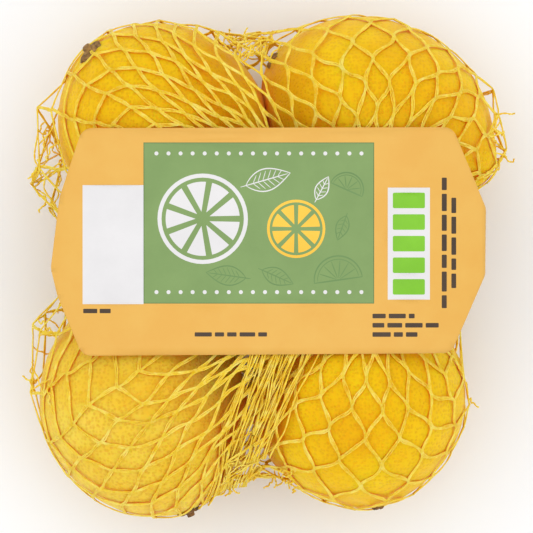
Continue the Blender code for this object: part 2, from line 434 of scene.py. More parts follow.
def lemon_frame(lemon):
    """The lemon's centre, and its own axes as rows: the first runs to the nipple."""
    heading = math.radians(lemon["stem_heading"] + 180)
    tilt = math.radians(-lemon["tilt"])
    core = (math.cos(heading) * math.cos(tilt), math.sin(heading) * math.cos(tilt), math.sin(tilt))
    side = (-math.sin(heading), math.cos(heading), 0)
    return np.array((*lemon["at"], lemon["half"][2])), np.stack((core, side, np.cross(core, side)))


def lemon_reach(half, directions):
    oval = 1 / np.sqrt(((directions / np.array(half)) ** 2).sum(-1))
    turn = np.arccos(np.clip(directions[..., 0], -1, 1))
    nipple = NIPPLE_HEIGHT * np.exp(-((turn / NIPPLE_SPREAD) ** 2))
    neck = NECK_HEIGHT * np.exp(-(((math.pi - turn) / NECK_SPREAD) ** 2))
    return oval + nipple + neck


def skin_reach(lemon, directions):
    """The lemon's surface with its lumps, dimples and puckers, never outside the plain shape."""
    seed = LEMONS.index(lemon) * 10
    turn = np.arccos(np.clip(directions[..., 0], -1, 1))
    about = np.arctan2(directions[..., 2], directions[..., 1])
    lumps = 0.16 * (1 + ripple(directions, 5.0, 14, seed))
    lumps += 0.05 * (1 + ripple(directions, 22.0, 30, seed + 1))
    dimples = 0.035 * (1 + ripple(directions, 60.0, 40, seed + 2))
    pucker = 0.30 * (1 + np.cos(7 * about + seed)) * np.exp(-(((turn - 0.30) / 0.16) ** 2))
    pleats = 0.22 * (1 + np.cos(9 * about + seed)) * np.exp(-(((math.pi - turn - 0.26) / 0.14) ** 2))
    return lemon_reach(lemon["half"], directions) - lumps - dimples - pucker - pleats


def lemon_piece(lemon, material):
    centre, axes = lemon_frame(lemon)
    turn = np.linspace(0, math.pi, LEMON_ROWS + 1)[1:-1]
    about = np.arange(LEMON_COLUMNS) * 2 * math.pi / LEMON_COLUMNS
    ring = np.stack((np.zeros(LEMON_COLUMNS), np.cos(about), np.sin(about)), -1)
    directions = np.sin(turn)[:, None, None] * ring[None]
    directions[..., 0] = np.cos(turn)[:, None]
    directions = np.concatenate(([[1, 0, 0]], directions.reshape(-1, 3), [[-1, 0, 0]]))
    points = centre + (directions * skin_reach(lemon, directions)[:, None]) @ axes
    points[:, 2] = np.maximum(points[:, 2], LOWEST_SKIN)
    here = np.arange(LEMON_COLUMNS)
    after = (here + 1) % LEMON_COLUMNS
    faces = []
    for row in range(LEMON_ROWS - 2):
        first = 1 + row * LEMON_COLUMNS
        quads = (first + here, first + LEMON_COLUMNS + here, first + LEMON_COLUMNS + after, first + after)
        faces += np.stack(quads, -1).tolist()
    last = 1 + (LEMON_ROWS - 2) * LEMON_COLUMNS
    faces += [(0, 1 + a, 1 + b) for a, b in zip(here.tolist(), after.tolist())]
    faces += [(len(points) - 1, last + b, last + a) for a, b in zip(here.tolist(), after.tolist())]
    return make_piece("lemon_" + lemon["name"], points, faces, material)


def stem_button(name, lemon, radius, stub, lobes, seed, material, shift=(0.0, 0.0)):
    """The dry calyx at a lemon's stem end: a lobed disc with the stub of the stalk in it."""
    centre, axes = lemon_frame(lemon)
    rng = np.random.default_rng(seed)
    core = unit(np.array((-1.0, shift[0], shift[1])))
    out = core @ axes
    foot = centre + out * (skin_reach(lemon, core[None])[0] - 0.5)
    side = unit(np.cross(out, (0.0, 0.0, 1.0)))
    up = np.cross(side, out)
    profile = (
        (1.00, -0.6), (1.04, 0.1), (0.96, 0.75), (0.80, 1.15), (0.60, 1.25),
        (0.46, 1.10), (0.40, 1.35), (0.38, 1.9), (0.34, 2.3), (0.22, 2.35), (0.10, 2.1),
    )
    about = np.arange(STEM_COLUMNS) * 2 * math.pi / STEM_COLUMNS
    phase = rng.uniform(0, 6.28, 3)
    edge = 1 + 0.16 * np.cos(lobes * about + phase[0]) + 0.07 * np.cos((lobes + 3) * about + phase[1])
    points = []
    for share, height in profile:
        rim = smooth((share - 0.4) / 0.5)
        wide = radius * share * (1 + (edge - 1) * rim)
        rise = height * stub / 2.3 if share < 0.5 else height
        rough = 1 + 0.05 * np.cos(5 * about + phase[2] + 3 * height)
        flat = (wide * rough)[:, None] * (np.cos(about)[:, None] * side + np.sin(about)[:, None] * up)
        sag = -0.5 * rim * (1 - np.cos(lobes * about + phase[0]))
        points.append(foot + flat + (rise + sag)[:, None] * out)
    points = np.concatenate(points)
    here = np.arange(STEM_COLUMNS)
    after = (here + 1) % STEM_COLUMNS
    faces = []
    for row in range(len(profile) - 1):
        low = row * STEM_COLUMNS
        high = low + STEM_COLUMNS
        faces += np.stack((low + here, low + after, high + after, high + here), -1).tolist()
    faces.append((len(points) - STEM_COLUMNS + here).tolist())
    faces.append(here[::-1].tolist())
    return make_piece(name, points, faces, material)


# Net

def sphere(count):
    step = np.arange(count) + 0.5
    up = 1 - 2 * step / count
    about = step * math.pi * (3 - math.sqrt(5))
    wide = np.sqrt(1 - up * up)
    return np.stack((wide * np.cos(about), wide * np.sin(about), up), -1)


def push_out(points, gap, folds=False):
    """The points, moved out of the lemons, and of the slack folds if folds is true."""
    points = points.copy()
    for lemon in LEMONS:
        centre, axes = lemon_frame(lemon)
        away = points - centre
        far = np.linalg.norm(away, axis=-1)
        near = far < LEMON_FARTHEST
        reach = lemon_reach(lemon["half"], unit(away[near]) @ axes.T) + gap
        points[near] = centre + away[near] * (np.maximum(far[near], reach) / far[near])[:, None]
    if folds:
        for centre, half in SLACK_FOLDS:
            away = (points - centre) / half
            far = np.linalg.norm(away, axis=-1)
            inside = far < 1
            points[inside] = centre + away[inside] / far[inside, None] * half
    points[..., 2] = np.maximum(points[..., 2], 0.5)
    return points


def contents_points():
    clouds = []
    around = sphere(1500)
    for lemon in LEMONS:
        centre, axes = lemon_frame(lemon)
        clouds.append(centre + (around * (lemon_reach(lemon["half"], around) + SKIN_GAP)[:, None]) @ axes)
    for centre, half in SLACK_FOLDS:
        clouds.append(centre + around[::5] * half)
    return np.concatenate(clouds)


class Contents:
    """How far a tight film (outer) and the fruit itself (inner) reach from the pack's middle."""

    def __init__(self):
        self.normals = sphere(3000)
        self.heights = ((contents_points() - PACK_MIDDLE) @ self.normals.T).max(0)

    def outer(self, directions, place=PACK_MIDDLE):
        heights = self.heights - self.normals @ (place - PACK_MIDDLE)
        out = np.empty(len(directions))
        for start in range(0, len(directions), 2000):
            along = directions[start:start + 2000] @ self.normals.T
            reach = np.where(along > 0.02, heights / np.maximum(along, 0.02), FAR_AWAY)
            out[start:start + 2000] = reach.min(1)
        return out

    def inner(self, directions):
        reach = np.linspace(4, 135, 394)
        points = PACK_MIDDLE + reach[None, :, None] * directions[:, None, :]
        best = np.zeros(len(directions))
        for lemon in LEMONS:
            centre, axes = lemon_frame(lemon)
            away = points - centre
            far = np.linalg.norm(away, axis=-1)
            near = far < LEMON_FARTHEST
            inside = np.zeros(far.shape, bool)
            inside[near] = far[near] < lemon_reach(lemon["half"], unit(away[near]) @ axes.T) + SKIN_GAP
            best = np.maximum(best, (inside * reach).max(1))
        for centre, half in SLACK_FOLDS:
            away = (points - centre) / half
            best = np.maximum(best, (((away * away).sum(-1) < 1) * reach).max(1))
        return best


class Rows:
    """Arcs of directions that run from one gather to the other, round the pack's middle."""

    def __init__(self):
        self.start = unit(GATHER_TOP - PACK_MIDDLE)
        self.end = unit(GATHER_BOTTOM - PACK_MIDDLE)
        self.chord = unit(self.end - self.start)
        self.foot = (self.start + self.end) / 2
        self.front = unit(self.foot)
        self.right = np.cross(self.front, self.chord)

    def turn_through(self, point):
        away = unit(point - PACK_MIDDLE) - self.foot
        return math.atan2(away @ self.right, away @ self.front) % (2 * math.pi)

    def arc(self, turn, shares):
        turn = np.broadcast_to(turn, np.shape(shares))[:, None]
        side = np.cos(turn) * self.front + np.sin(turn) * self.right
        normal = np.cross(self.chord, side)
        centre = normal * (normal @ self.foot)[:, None]
        first = self.start - centre
        second = np.cross(normal, first)
        last = self.end - centre
        sweep = np.arctan2((last * second).sum(1), (last * first).sum(1)) % (2 * math.pi)
        half = centre + np.cos(sweep / 2)[:, None] * first + np.sin(sweep / 2)[:, None] * second
        flip = ((half - self.foot) * side).sum(1) < 0
        second[flip] *= -1
        sweep[flip] = 2 * math.pi - sweep[flip]
        along = (sweep * np.asarray(shares))[:, None]
        return unit(centre + np.cos(along) * first + np.sin(along) * second)


def from_table(share, table):
    return float(np.interp(share, [row[0] for row in table], [row[1] for row in table]))


def gather_point(share, table):
    shares = [row[0] for row in table]
    return np.array([np.interp(share, shares, [row[1][k] for row in table]) for k in range(3)])


def straight_round(contents, gather, heading):
    """The film's line in the upright plane that leaves a gather at a heading, and the length along it."""
    ahead = np.append(heading_vector(heading), 0.0)
    level = np.array((gather[0], gather[1], HALF_HEIGHT))
    edge = contents.outer(ahead[None], level)[0]
    centre = level + 0.5 * edge * ahead
    start = math.atan2(gather[2] - HALF_HEIGHT, -0.5 * edge)
    turns = np.linspace(start, -0.85 * math.pi, 121)[:, None]
    ways = np.cos(turns) * ahead + np.sin(turns) * np.array((0.0, 0.0, 1.0))
    points = centre + ways * contents.outer(ways, centre)[:, None]
    points[0] = gather
    lengths = np.concatenate(([0], np.cumsum(np.linalg.norm(np.diff(points, axis=0), axis=1))))
    return unit(points - PACK_MIDDLE), lengths


def along_line(line, lengths):
    return unit(np.stack([np.interp(lengths, line[1], line[0][:, k]) for k in range(3)], -1))


def path_lengths(contents, path):
    points = path * contents.outer(path)[:, None] + PACK_MIDDLE
    pieces = np.linalg.norm(np.diff(points, axis=0), axis=1)
    return points, pieces, np.concatenate(([0], np.cumsum(pieces)))


def net_directions(contents, rows):
    """The direction of each stitch from the pack's middle, and how many rows are bunched in the waist."""
    first = rows.turn_through(FRONT_RIGHT)
    last = rows.turn_through(FRONT_LEFT)
    steps = np.linspace(0, 1, PATH_STEPS + 1)
    waist = rows.arc(first + (last - first) * steps, np.full(len(steps), 0.5))
    girth = path_lengths(contents, waist)[2]
    columns = 2 * STITCH_COLUMNS
    directions = np.zeros((STITCH_ROWS + 1, columns + 1, 3))
    bunched = np.zeros(columns + 1)
    for column in range(columns + 1):
        share = column / columns
        place = np.interp(from_table(share, WAIST_PLACES) * girth[-1], girth, steps)
        arc = rows.arc(first + (last - first) * place, steps)
        top = straight_round(contents, gather_point(share, GATHERS_TOP), from_table(share, FAN_TOP))
        bottom = straight_round(contents, gather_point(share, GATHERS_BOTTOM), from_table(share, FAN_BOTTOM))
        path = arc
        for _ in range(3):
            done = path_lengths(contents, path)[2]
            left = done[-1] - done
            near = smooth((done / done[-1] - FAN_START) / FAN_SHARE)[:, None]
            path = unit(near * arc + (1 - near) * along_line(top, done))
            near = smooth((left / done[-1] - FAN_START) / FAN_SHARE)[:, None]
            path = unit(near * path + (1 - near) * along_line(bottom, left))
        points, pieces, _ = path_lengths(contents, path)
        weight = np.ones(len(pieces))
        if pieces.sum() / STITCH_ROWS < STITCH_SIDE:
            middle = (points[1:] + points[:-1]) / 2
            zone = np.exp(-(((middle[:, 1] - 4) / 15) ** 4))
            zone = zone * (np.abs(np.arange(len(pieces)) / len(pieces) - 0.5) < 0.35)
            bunched[column] = STITCH_ROWS - pieces.sum() / STITCH_SIDE
            weight = 1 / STITCH_SIDE + bunched[column] * zone / max((pieces * zone).sum(), 1e-6)
        total = np.concatenate(([0], np.cumsum(pieces * weight)))
        places = np.linspace(0, total[-1], STITCH_ROWS + 1)
        directions[:, column] = unit(np.stack([np.interp(places, total, path[:, k]) for k in range(3)], -1))
    return directions, bunched


def around_stitch(rows, columns):
    """For each diagonal, slices of the stitches with a neighbour there and of those neighbours."""
    for up in (0, 1):
        for right in (0, 1):
            own = (slice(1 - up, rows - up), slice(1 - right, columns - right))
            other = (slice(up, rows - 1 + up), slice(right, columns - 1 + right))
            yield own, other


def film(contents, directions):
    """The stitches of a net drawn tight over the contents."""
    rows, columns = directions.shape[:2]
    stitch = (np.add.outer(np.arange(rows), np.arange(columns)) % 2) == 0
    flat = directions.reshape(-1, 3)
    outer = contents.outer(flat).reshape(rows, columns)
    inner = contents.inner(flat).reshape(rows, columns)
    reach = np.where(stitch, outer, 0)
    for column in range(columns):
        share = column / (columns - 1)
        reach[0, column] = np.linalg.norm(gather_point(share, GATHERS_TOP) - PACK_MIDDLE)
        reach[-1, column] = np.linalg.norm(gather_point(share, GATHERS_BOTTOM) - PACK_MIDDLE)
    ends = reach[[0, -1]].copy()
    for _ in range(FILM_ROUNDS):
        points = reach[..., None] * directions
        total = np.zeros_like(points)
        count = np.zeros((rows, columns, 1))
        for own, other in around_stitch(rows, columns):
            total[own] += points[other]
            count[own] += 1
        middle = (total / np.maximum(count, 1) * directions).sum(-1)
        reach = np.where(stitch, np.maximum(inner, middle), 0)
        reach[[0, -1]] = ends
    # The spans over the two valleys, at the top and the bottom of the pack, aren't drawn in.
    ahead = smooth((0.62 - np.abs(directions[..., 0] + 0.12)) / 0.3)
    top = ahead * smooth((directions[..., 1] - 0.45) / 0.35)
    bottom = ahead * smooth((-directions[..., 1] - 0.45) / 0.35)
    slack = outer - reach
    inward = np.minimum(FILM_DRAWN_SHARE * slack, FILM_DRAWN_MOST)
    drawn = reach - inward * (1 - top) * (1 - bottom) + TOP_SPAN_LIFT * slack * top
    drawn = np.maximum(inner, drawn)
    drawn = np.where(stitch, drawn, 0)
    drawn[[0, -1]] = ends
    return PACK_MIDDLE + drawn[..., None] * directions, stitch


def label_height(x, y):
    """The middle surface of the label."""
    past = np.maximum(0, np.abs(x) - LABEL_FLAT) / LABEL_BEND
    return LABEL_TOP + LABEL_SLOPE_Y * y + LABEL_SLOPE_X * x - LABEL_DROP * past ** 2


def under_label(points, gap):
    """The points, lowered to a gap under the label where it covers them."""
    x, y, z = points[..., 0], points[..., 1], points[..., 2]
    low = min(corner[1] for corner, _ in LABEL_OUTLINE)
    high = max(corner[1] for corner, _ in LABEL_OUTLINE)
    covered = (y > low) & (y < high) & (np.abs(x) < LABEL_HALF_WIDTH)
    lowered = np.where(covered, np.minimum(z, label_height(x, y) - gap), z)
    return np.stack((x, y, lowered), -1)


def slide(points, stitch, bunched):
    """Evens the stitches out along the film, with the bunched rows of the waist kept close together."""
    rows, columns = stitch.shape
    home = points.copy()
    points = points.copy()
    free = stitch.copy()
    free[[0, -1]] = False
    free[:, [0, -1]] = False
    level = np.abs(np.arange(rows - 1) + 0.5 - (rows - 1) / 2)[:, None]
    bunch = ((bunched[1:] + bunched[:-1]) / 2)[None]
    zone = smooth(bunch / 4.0) / (1 + np.exp((level - np.maximum(bunch * 0.5, 0.01)) / 0.8))
    pull = (1 + (WAIST_PULL - 1) * zone)[..., None]
    known = unit(home[stitch] - PACK_MIDDLE)
    known_reach = np.linalg.norm(home[stitch] - PACK_MIDDLE, axis=1)
    for turn in range(SLIDE_ROUNDS):
        total = np.zeros_like(points)
        weight = np.zeros((rows, columns, 1))
        for own, other in around_stitch(rows, columns):
            total[own] += pull * points[other]
            weight[own] += pull
        moved = points + SLIDE_RATE * (total / np.maximum(weight, 1e-6) - points)
        moved = moved + SLIDE_HOME * (home - moved)
        away = moved[free] - PACK_MIDDLE
        reach = np.linalg.norm(away, axis=1)
        away = away / reach[:, None]
        if turn % 4 == 0 or turn == SLIDE_ROUNDS - 1:
            apart = 1 - away @ known.T
            nearest = np.argpartition(apart, 5, axis=1)[:, :5]
            share = 1 / (np.take_along_axis(apart, nearest, 1) + 2e-4)
            target = (known_reach[nearest] * share).sum(1) / share.sum(1)
        reach = reach + SLIDE_HOLD * (target - reach)
        points[free] = push_out(PACK_MIDDLE + away * reach[:, None], SKIN_GAP, True)
    return np.where(free[..., None], under_label(points, LABEL_GAP + 0.3), points)


def chaikin(paths):
    """The paths with their corners cut, the two ends kept."""
    first = 0.75 * paths[:, :-1] + 0.25 * paths[:, 1:]
    second = 0.25 * paths[:, :-1] + 0.75 * paths[:, 1:]
    cut = np.stack((first, second), 2).reshape(len(paths), -1, paths.shape[-1])
    return np.concatenate((paths[:, :1], cut, paths[:, -1:]), 1)


def net_paths(points, stitch):
    """The middle lines of the net's strands, each of which runs on through its knots to the other side."""
    rows, columns = stitch.shape
    rng = np.random.default_rng(KNOT_SEED)
    jitter = rng.normal(size=points.shape) * KNOT_JITTER
    jitter[[0, -1]] = 0
    points = points + jitter
    paths = []
    for strand in range(columns - 1):
        step = -1 if strand % 2 else 1
        column = strand + strand % 2
        places = []
        aheads = []
        for row in range(rows):
            ahead = np.zeros(3)
            for side in (-1, 1):
                if 0 <= column + side < columns:
                    if row:
                        ahead = ahead + points[row, column] - points[row - 1, column + side]
                    if row < rows - 1:
                        ahead = ahead + points[row + 1, column + side] - points[row, column]
            places.append(points[row, column])
            aheads.append(ahead / max(np.linalg.norm(ahead), 1e-6))
            if not 0 <= column + step < columns:
                step = -step
            column += step
        places = np.array(places)
        aheads = np.array(aheads)
        reach = KNOT_REACH_LEFT + (KNOT_REACH_RIGHT - KNOT_REACH_LEFT) * smooth((places[:, 0] + 12) / 24)
        gaps = np.linalg.norm(np.diff(places, axis=0), axis=1)
        before = KNOT_REACH_SHARE * np.concatenate((gaps[:1], gaps))
        behind = KNOT_REACH_SHARE * np.concatenate((gaps, gaps[-1:]))
        back = np.minimum(reach, before)[:, None] * aheads
        forth = np.minimum(reach, behind)[:, None] * aheads
        paths.append(np.stack((places - back, places + forth), 1).reshape(-1, 3))
    return np.array(paths)


def add_filaments(paths):
    """Three filaments along each middle line, outside the fruit: paths, side vectors and radii."""
    rng = np.random.default_rng(FILAMENT_SEED)
    count = len(paths)
    outward = np.zeros(paths.shape)
    nearest = np.full(paths.shape[:2], FAR_AWAY)
    for lemon in LEMONS:
        away = paths - lemon_frame(lemon)[0]
        far = np.linalg.norm(away, axis=-1)
        closer = far < nearest
        outward[closer] = away[closer]
        nearest = np.minimum(nearest, far)
    outward = unit(outward)
    shift = np.zeros(paths.shape)
    for wave in UNEVEN_WAVES:
        turns = unit(rng.normal(size=(3, 3))) * 2 * math.pi / wave
        shift += UNEVEN_SIZE * np.sin(paths @ turns.T + rng.uniform(0, 2 * math.pi, 3))
    paths = paths + shift - (shift * outward).sum(-1, keepdims=True) * outward
    ahead = unit_or_zero(np.gradient(paths, axis=1))
    side = unit_or_zero(np.cross(ahead, outward))
    out = np.cross(side, ahead)
    pieces = np.linalg.norm(np.diff(paths, axis=1), axis=-1)
    length = np.concatenate((np.zeros((count, 1)), np.cumsum(pieces, 1)), 1)
    made = []
    sides = []
    thick = []
    for hand in (-1, 0, 1):
        phase = rng.uniform(0, 2 * math.pi, (count, 1))
        slow = np.cos(length * 2 * math.pi / PARTING_WAVE + phase)
        fast = np.cos(length * 2 * math.pi / WOBBLE_WAVE + 2 * phase + hand)
        offset = hand * FILAMENT_APART * (PARTING_MEAN + PARTING_SWING * slow) + WOBBLE * fast
        lift = RISE * np.sin(length * 2 * math.pi / RISE_WAVE + phase) + MIDDLE_RISE * (1 - abs(hand))
        swell = SWELL * np.cos(length * 2 * math.pi / SWELL_WAVE + 3 * phase)
        made.append(paths + side * offset[..., None] + out * lift[..., None])
        sides.append(side)
        thick.append(FILAMENT_RADIUS * (1 + swell))
    made = np.concatenate(made)
    made = under_label(push_out(made, FILAMENT_RADIUS + 0.05), LABEL_GAP)
    made[..., 2] = np.maximum(made[..., 2], FILAMENT_RADIUS + 0.02)
    return made, np.concatenate(sides), np.concatenate(thick)


# Where the net is loose: the box in millimetres, how many strands, their slack, and how many end free and
# which way they run.
TANGLES = (
    ((-16, 60, 8), (6, 74, 52), 44, 1.3, 5, 80),
    ((-16, -74, 4), (10, -54, 50), 48, 1.4, 22, -112),
    ((-74, 10, 12), (-60, 44, 48), 26, 1.8, 6, -140),
    ((-74, -46, 12), (-60, -4, 48), 16, 1.6, 3, 150),
    ((62, 18, 16), (74, 46, 46), 14, 1.6, 5, -10),
    ((56, -40, 16), (66, -18, 44), 9, 1.4, 1, -20),
)
# Slack strands drawn out from under the label: from a place on one line to the like place on another, and
# how many.
BUNDLES = (
    ((-4, -21, 60), (14, -21, 60), (-20, -68, 34), (-6, -66, 34), 28),
    ((5, -21, 60), (18, -21, 60), (-10, -60, 46), (2, -57, 50), 12),
)


def tangle_paths(strands):
    """Slack strands between points of the net, and a few frayed ends, each with its side vectors."""
    rng = np.random.default_rng(LOOSE_SEED)
    pool = strands.reshape(-1, 3)
    share = np.linspace(0, 1, LOOSE_STEPS)[:, None]
    paths = []
    for low, high, count, slack, free_ends, heading in TANGLES:
        near = pool[((pool >= low) & (pool <= high)).all(1)]
        grain = heading_vector(heading)
        for number in range(count + free_ends):
            start = near[rng.integers(len(near))]
            if number < count:
                gaps = np.linalg.norm(near - start, axis=1)
                others = near[(gaps > 4) & (gaps < 15)]
                ends = others[rng.integers(len(others), size=3)]
                spans = ends - start
                straight = np.abs(spans[:, :2] @ grain) / np.linalg.norm(spans, axis=1)
                end = ends[straight.argmax()]
            else:
                way = heading_vector(heading + rng.normal() * 35)
                end = start + np.append(way, rng.normal() * 0.3) * rng.uniform(2.5, 6.0)
            first = start + (end - start) * 0.3 + rng.normal(size=3) * slack
            last = start + (end - start) * 0.7 + rng.normal(size=3) * slack
            path = (1 - share) ** 3 * start + 3 * (1 - share) ** 2 * share * first
            path = path + 3 * (1 - share) * share ** 2 * last + share ** 3 * end
            wave = np.sin(share * rng.uniform(9, 22) + rng.uniform(0, 6)) * np.sin(math.pi * share)
            paths.append(path + wave * rng.normal(size=3) * 0.35)
    paths = [push_out(path, LOOSE_GAP) for path in paths]
    for *lines, count in BUNDLES:
        first, last, low, high = np.array(lines)
        for number in range(count):
            place = (number + 0.5) / count
            start = first + (place + 0.10 * rng.normal()) * (last - first)
            end = low + (place + 0.20 * rng.normal()) * (high - low)
            path = start + np.hstack((share, share, share ** 2.4)) * (end - start)
            path = path + np.sin(math.pi * share) * rng.normal(size=3) * (1.1, 1.1, 0.8)
            wave = np.sin(share * rng.uniform(6, 16) + rng.uniform(0, 6)) * np.sin(math.pi * share)
            paths.append(push_out(path + wave * rng.normal(size=3) * 0.45, rng.uniform(LOOSE_GAP, 1.8)))
    paths = under_label(np.array(paths), LABEL_GAP)
    paths[..., 2] = np.maximum(paths[..., 2], LOOSE_LOWEST)
    return paths, np.broadcast_to(unit(rng.normal(size=(len(paths), 1, 3))), paths.shape)


# Label

def rounded(outline, steps=10):
    """A closed outline with each corner rounded to its radius."""
    points = []
    count = len(outline)
    for index, (corner, radius) in enumerate(outline):
        here = Vector(corner)
        first = (Vector(outline[index - 1][0]) - here).normalized()
        last = (Vector(outline[(index + 1) % count][0]) - here).normalized()
        half_angle = first.angle(last) / 2
        bisector = (first + last).normalized()
        middle = here + bisector * radius / math.sin(half_angle)
        reach = radius / math.tan(half_angle)
        start = math.atan2(*reversed(here + first * reach - middle))
        end = math.atan2(*reversed(here + last * reach - middle))
        turn = (end - start + math.pi) % (2 * math.pi) - math.pi
        for step in range(steps + 1):
            angle = start + turn * step / steps
            points.append((middle.x + radius * math.cos(angle), middle.y + radius * math.sin(angle)))
    return points


def at_pixel(x, y):
    """A place on the label from its pixel in the photograph."""
    return (x - PHOTO_MIDDLE) * PIXEL, (PHOTO_MIDDLE - y) * PIXEL


def bar(x0, y0, x1, y1, corner=0.0):
    """A rectangle between two pixels, with its corners rounded by corner pixels."""
    low = at_pixel(x0, y1)
    high = at_pixel(x1, y0)
    if corner <= 0:
        return [low, (high[0], low[1]), high, (low[0], high[1])]
    radius = corner * PIXEL
    square = ((low, radius), ((high[0], low[1]), radius), (high, radius), ((low[0], high[1]), radius))
    return rounded(square, 4)


def disc(x, y, radius, count=48):
    middle = at_pixel(x, y)
    reach = radius * PIXEL
    turns = [step * 2 * math.pi / count for step in range(count)]
    return [(middle[0] + reach * math.cos(turn), middle[1] + reach * math.sin(turn)) for turn in turns]


def ribbon(path, width):
    """A line drawn along pixels with a width in pixels, tapered a little at both ends."""
    points = np.array([at_pixel(*p) for p in path])
    ahead = unit(np.gradient(points, axis=0))
    side = np.stack((-ahead[:, 1], ahead[:, 0]), -1)
    share = np.linspace(0, 1, len(points))
    wide = width * (PIXEL / 2) * (0.45 + 0.55 * np.sin(math.pi * share) ** 0.5)
    left = points + side * wide[:, None]
    right = points - side * wide[:, None]
    return [tuple(p) for p in np.concatenate((right, left[::-1]))]


def arc_path(x, y, radius, start, end, count, lean=0.0):
    """Pixels along an arc, its angles in degrees."""
    angles = np.radians(np.linspace(start, end, count))
    across = radius * np.cos(angles)
    up = radius * np.sin(angles)
    turn = math.radians(lean)
    return np.stack((x + across * math.cos(turn) - up * math.sin(turn),
                     y - across * math.sin(turn) - up * math.cos(turn)), -1)


def citrus_slice(x, y, radius, lean, spokes):
    """Line drawing of half a slice: rind, pith line and segment walls."""
    lines = [ribbon(arc_path(x, y, radius, 0, 180, 28, lean), 1.5)]
    lines.append(ribbon(arc_path(x, y, radius * 0.86, 4, 176, 28, lean), 0.9))
    flat = arc_path(x, y, radius, 0, 180, 2, lean)
    lines.append(ribbon(np.linspace(flat[0], flat[1], 12), 1.5))
    for index in range(1, spokes):
        angle = 180 * index / spokes
        tip = arc_path(x, y, radius * 0.82, angle, angle, 1, lean)[0]
        root = arc_path(x, y, radius * 0.10, angle, angle, 1, lean)[0]
        lines.append(ribbon(np.linspace(root, tip, 6), 1.0))
    return lines


def leaf(x, y, length, lean, veins):
    """Line drawing of a leaf: two edges, a midrib and slanted veins."""
    turn = math.radians(lean)
    ahead = np.array((math.cos(turn), -math.sin(turn)))
    side = np.array((math.sin(turn), math.cos(turn)))
    share = np.linspace(0, 1, 20)
    belly = length * 0.24 * np.sin(math.pi * share ** 0.85)
    root = np.array((x, y))
    middle = root + share[:, None] * length * ahead
    lines = [ribbon(middle + belly[:, None] * side, 1.2), ribbon(middle - belly[:, None] * side, 1.2)]
    lines.append(ribbon(root + np.linspace(-0.12, 0.94, 14)[:, None] * length * ahead, 1.1))
    for index in range(veins):
        start = 0.16 + 0.66 * index / veins
        for hand in (-1, 1):
            reach = 0.8 * length * 0.24 * math.sin(math.pi * (start + 0.08) ** 0.85)
            first = root + start * length * ahead
            last = root + (start + 0.12) * length * ahead + hand * reach * side
            lines.append(ribbon(np.linspace(first, last, 5), 0.7))
    return lines


def words(x0, y0, x1, y1, seed, shortest, longest, gap, corner=1.0, upright=False):
    """A row of plain bars that stands for a line of print."""
    rng = np.random.default_rng(seed)
    bars = []
    start = y0 if upright else x0
    end = y1 if upright else x1
    while start < end - shortest * 0.6:
        stop = min(start + rng.uniform(shortest, longest), end)
        box = (x0, start, x1, stop) if upright else (start, y0, stop, y1)
        bars.append(bar(*box, corner))
        start = stop + gap
    return bars


def citrus_wheel(x, y, radius, segments, colour):
    """A whole slice in filled fields, rind and segments, as (material index, outline)."""
    fields = [(colour, disc(x, y, radius)), (GREEN, disc(x, y, radius * 0.91))]
    step = 360 / segments
    for index in range(segments):
        middle = (index + 0.5) * step
        root = arc_path(x, y, radius * 0.16, middle, middle, 1)
        rim = arc_path(x, y, radius * 0.82, middle - 0.38 * step, middle + 0.38 * step, 10)
        fields.append((colour, [at_pixel(*p) for p in np.concatenate((root, rim))]))
    return fields


def print_fields():
    """What is printed on the film, as (material index, outline), later ones on top.

    A general citrus design with a layout of its own, and plain bars in rows for the small print.
    """
    fields = [(EDGE, bar(144.1, 143.1, 373.6, 303.4)), (GREEN, bar(144.9, 143.9, 372.8, 302.6))]
    fields.append((WHITE, bar(83.4, 185.5, 144.1, 304)))
    art = citrus_slice(338, 280, 24, 8, 7) + citrus_slice(346, 190, 17, -24, 6)
    art += leaf(246, 278, 40, 172, 6) + leaf(262, 270, 34, 336, 5) + leaf(346, 216, 26, 250, 4)
    fields += [(DARK_GREEN, outline) for outline in art]
    fields += citrus_wheel(203, 219, 45, 9, WHITE)
    fields += citrus_wheel(296, 229, 29, 8, YELLOW)
    leaves = leaf(246, 186, 46, 16, 6) + leaf(316, 200, 26, 62, 4)
    fields += [(WHITE, outline) for outline in leaves]
    for x in range(157, 364, 12):
        fields += [(WHITE, disc(x, 154, 2.0, 16)), (WHITE, disc(x, 292, 2.0, 16))]
    fields.append((WHITE, bar(387.2, 188, 429.2, 299.5)))
    fields += [(LIME, bar(392.2, 193 + 21.5 * step, 424.2, 208.5 + 21.5 * step, 1.5)) for step in range(5)]
    small_print = [words(441, 178, 446, 308, 61, 8, 20, 3.6, 0.8, True)]
    small_print.append(words(450.6, 198, 455.4, 288, 62, 8, 20, 3.6, 0.8, True))
    for index, stop in enumerate((414, 438, 421)):
        y = 315.8 + 9.2 * index
        small_print.append(words(372, y - 2.3, stop, y + 2.3, 70 + index, 9, 20, 3.0, 0.8))
    small_print.append(words(195, 332, 267, 336.2, 80, 9, 20, 3.0, 0.8))
    small_print.append(words(84, 308.6, 111.4, 313.0, 82, 7, 14, 2.4, 0.6))
    fields += [(BROWN, outline) for row in small_print for outline in row]
    return fields


